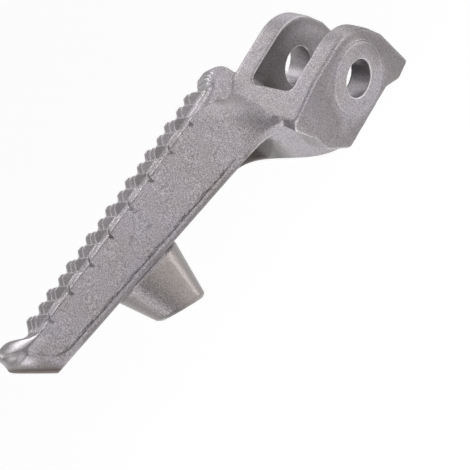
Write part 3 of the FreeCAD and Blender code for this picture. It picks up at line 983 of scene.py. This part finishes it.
    @staticmethod
    def _drop_crumbs(mesh: bpy.types.Mesh) -> None:
        """Delete the loose crumbs that the voxel grid leaves, so that one closed skin stays.

        Args:
            mesh: Mesh that keeps only its largest part.
        """
        shell = bmesh.new()
        shell.from_mesh(mesh)
        seen: set[int] = set()
        groups: list[list[Any]] = []
        for seed in shell.verts:
            if seed.index in seen:
                continue
            seen.add(seed.index)
            group = [seed]
            for vert in group:
                for edge in vert.link_edges:
                    other = edge.other_vert(vert)
                    if other.index not in seen:
                        seen.add(other.index)
                        group.append(other)
            groups.append(group)
        groups.sort(key=len)
        crumbs = [vert for group in groups[:-1] for vert in group]
        bmesh.ops.delete(shell, geom=crumbs, context="VERTS")
        shell.to_mesh(mesh)
        shell.free()

    def register(self, piece: bpy.types.Object) -> None:
        """Attach the piece to its body and hide the CAD part that it stands for.

        Args:
            piece: The finished casting.
        """
        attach(piece, self.body)
        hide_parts(self.node)


@dataclass(frozen=True)
class Lamp:
    """One square soft lamp, placed from the point that it shines at, in metres and watts."""

    name: str
    offset: tuple[float, float, float]
    size: float
    watts: float

    def hang(self, aim: Vector) -> None:
        """Hang the lamp.

        Args:
            aim: Point that it shines at.
        """
        data = bpy.data.lights.new(self.name, "AREA")
        data.size = self.size
        data.energy = self.watts
        place = aim + Vector(self.offset)
        turn = (aim - place).to_track_quat("-Z", "Y").to_matrix().to_4x4()
        lamp = bpy.data.objects.new(self.name, data)
        lamp.matrix_world = Matrix.Translation(place) @ turn
        bpy.context.scene.collection.objects.link(lamp)


# A broad lamp behind the camera, two above the tread, and smaller ones past the fork and the tip,
# each where the faces that it lights mirror it to the camera.
LAMPS = (
    Lamp("front", (0.1346, 2.1574, 0.5453), 1.5, 12.4),
    Lamp("above", (-0.15, -0.1, 0.8), 0.75, 2.7),
    Lamp("past_fork", (-0.29, 0.01, -0.2), 0.08, 0.11),
    Lamp("fork_side", (-0.85, 0.3, 0.25), 0.85, 3.8),
    Lamp("root_side", (-0.6, 1.0, 0.36), 0.5, 1.6),
    Lamp("behind", (-0.75, -0.45, 0.3), 0.8, 3.0),
    Lamp("spark", (-0.15, -0.3, 0.75), 0.24, 1.3),
    Lamp("under_tip", (0.36, 0.08, -0.12), 0.2, 0.35),
    Lamp("past_tip", (0.8, 0.48, 0.0), 0.5, 1.6),
    Lamp("tip_corner", (0.85, 0.0, -0.03), 0.55, 1.7),
    Lamp("over_tip", (0.62, -0.02, 0.6), 0.5, 1.0),
    Lamp("behind_tip", (0.4, -0.7, 0.5), 0.5, 1.5),
)


@dataclass(frozen=True)
class Studio:
    """Pale floor, soft lamps and the camera at the picture's angle, in metres."""

    # The picture: its scale, its size and where the frame's origin lies in it.
    px_per_mm: float = 3.92
    image_px: float = 470.0
    origin_px: tuple[float, float] = (318.5, 69.55)
    right: tuple[float, float, float] = (-0.5709, 0.1471, -0.8076)
    forward: tuple[float, float, float] = (-0.12, -0.9882, -0.0951)
    distance: float = 1.8
    sensor_mm: float = 36.0
    clip_end: float = 200.0
    lamp_aim: tuple[float, float, float] = (0.045, 0.0, 0.005)

    # The floor far below, which glows a little so that it stays pale without a hard shadow.
    floor_drop: float = 0.25
    floor_size: float = 60.0
    floor_colour: str = "#F4F4F4"
    floor_roughness: float = 0.9
    floor_glow: float = 0.5

    # The room's white light, and the soft flag that dims it on one side.
    white: str = "#FFFFFF"
    room_light: float = 0.52
    flag_light: float = 0.3
    flag: tuple[float, float, float] = (0.374, 0.927, 0.0)
    flag_edge: float = 0.75
    flag_core: float = 0.98

    def build(self) -> None:
        """Make floor, camera and light."""
        self._floor()
        self._camera()
        for lamp in LAMPS:
            lamp.hang(Vector(self.lamp_aim))
        self._world()

    def _floor(self) -> None:
        """Lay a wide pale floor below the piece."""
        mesh = bpy.data.meshes.new("floor")
        half = self.floor_size / 2
        corners = ((-half, -half), (half, -half), (half, half), (-half, half))
        mesh.from_pydata([(x, y, -self.floor_drop) for x, y in corners], [], [(0, 1, 2, 3)])
        paint = bpy.data.materials.new("floor_paint")
        paint.use_nodes = True
        shader = paint.node_tree.nodes["Principled BSDF"]
        shader.inputs["Base Color"].default_value = linear(self.floor_colour)
        shader.inputs["Roughness"].default_value = self.floor_roughness
        shader.inputs["Emission Color"].default_value = linear(self.white)
        shader.inputs["Emission Strength"].default_value = self.floor_glow
        mesh.materials.append(paint)
        floor = bpy.data.objects.new("floor", mesh)
        bpy.context.scene.collection.objects.link(floor)

    def _camera(self) -> None:
        """Set the camera square to the picture's plane."""
        metres_per_px = MM / self.px_per_mm
        data = bpy.data.cameras.new("camera")
        data.sensor_width = self.sensor_mm
        data.lens = self.sensor_mm * self.distance / (self.image_px * metres_per_px)
        data.clip_end = self.clip_end
        across, drop = ((self.image_px / 2 - px) * metres_per_px for px in self.origin_px)
        right = Vector(self.right).normalized()
        forward = Vector(self.forward).normalized()
        up = right.cross(forward).normalized()
        place = right * across - up * drop - forward * self.distance
        turn = Matrix((right, up, -forward)).transposed().to_4x4()
        camera = bpy.data.objects.new("camera", data)
        camera.matrix_world = Matrix.Translation(place) @ turn
        bpy.context.scene.collection.objects.link(camera)
        bpy.context.scene.camera = camera

    def _world(self) -> None:
        """Fill the room with white light, dimmed by the flag so that round forms show."""
        world = bpy.data.worlds.new("room")
        world.use_nodes = True
        tree = world.node_tree
        way = add_node(tree, "ShaderNodeTexCoord").outputs["Generated"]
        toward = add_node(
            tree, "ShaderNodeVectorMath", {0: way, 1: self.flag}, operation="DOT_PRODUCT"
        )
        light = add_node(
            tree, "ShaderNodeMapRange",
            {"Value": toward.outputs["Value"], "From Min": self.flag_edge,
             "From Max": self.flag_core, "To Min": self.room_light, "To Max": self.flag_light},
            interpolation_type="SMOOTHSTEP",
        )
        sky = tree.nodes["Background"]
        sky.inputs["Color"].default_value = linear(self.white)
        tree.links.new(light.outputs[0], sky.inputs["Strength"])
        bpy.context.scene.world = world
        bpy.context.scene.view_settings.view_transform = "Standard"


def count_triangles(mesh: bpy.types.Mesh) -> int:
    """Count the triangles that a mesh's faces divide into."""
    return sum(len(face.vertices) - 2 for face in mesh.polygons)


def main() -> None:
    """Build the peg and its studio, and report each piece."""
    logging.basicConfig(level=logging.INFO, format="%(name)s: %(message)s")
    metal = BlastedAluminium().build()
    fillets = ToothFillets().build(metal)
    LOG.info("tooth fillets: %d faces", len(fillets.polygons))
    casting = Casting()
    piece = casting.build(metal, fillets)
    casting.register(piece)
    LOG.info("casting: %d triangles", count_triangles(piece.data))
    Studio().build()
    LOG.info("studio: floor, camera and %d lamps", len(LAMPS))


if __name__ == "__main__":
    main()
